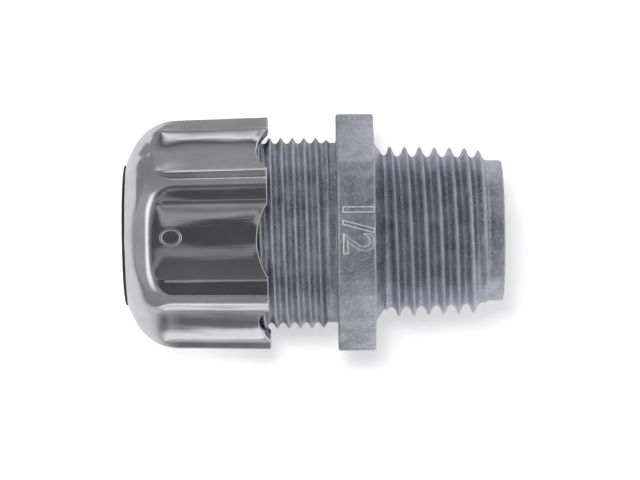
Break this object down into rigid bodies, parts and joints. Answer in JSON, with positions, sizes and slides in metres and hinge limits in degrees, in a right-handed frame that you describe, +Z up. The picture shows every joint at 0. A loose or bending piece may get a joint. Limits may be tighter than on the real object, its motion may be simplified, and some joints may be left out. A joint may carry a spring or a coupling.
{
  "type": "liquidtight conduit connector",
  "caption": "Straight liquidtight conduit connector: cast body with hexagon flange and tapered pipe hub, drawn fluted gland nut, sealing ring and ferrule.",
  "frame": {"origin": "on the connector's axis, in the flange face that seats against the box wall", "axes": "+X along the axis towards the hub's nose; +Z up, square to two flats of the flange, so the connector lies on a flange flat and a corner of its nut"},
  "size_m": [0.0459, 0.0288, 0.0262],
  "materials": {
    "cast_zinc": "matte grey cast zinc, tumbled",
    "plated_ferrule": "zinc plated drawn steel",
    "black_seal": "smooth black moulded rubber",
    "bright_nut": "bright plated drawn steel"
  },
  "bodies": {
    "fitting": {"body": "cast_zinc", "ferrule": "plated_ferrule"},
    "seal": {"sealing_ring": "black_seal"},
    "nut": {"gland_nut": "bright_nut"}
  },
  "joints": [
    {"name": "seal_slide", "type": "slide", "parent": "fitting", "child": "seal", "axis": [1, 0, 0], "range_m": [-0.00636, 0.00424]},
    {"name": "nut_turn", "type": "hinge", "parent": "seal", "child": "nut", "pos_m": [-0.02, 0, 0], "axis": [1, 0, 0], "range_deg": [-1620, 1080]}
  ],
  "couplings": [
    {"joint": "seal_slide", "follows": "nut_turn", "m_per_rad": 0.00022459}
  ]
}
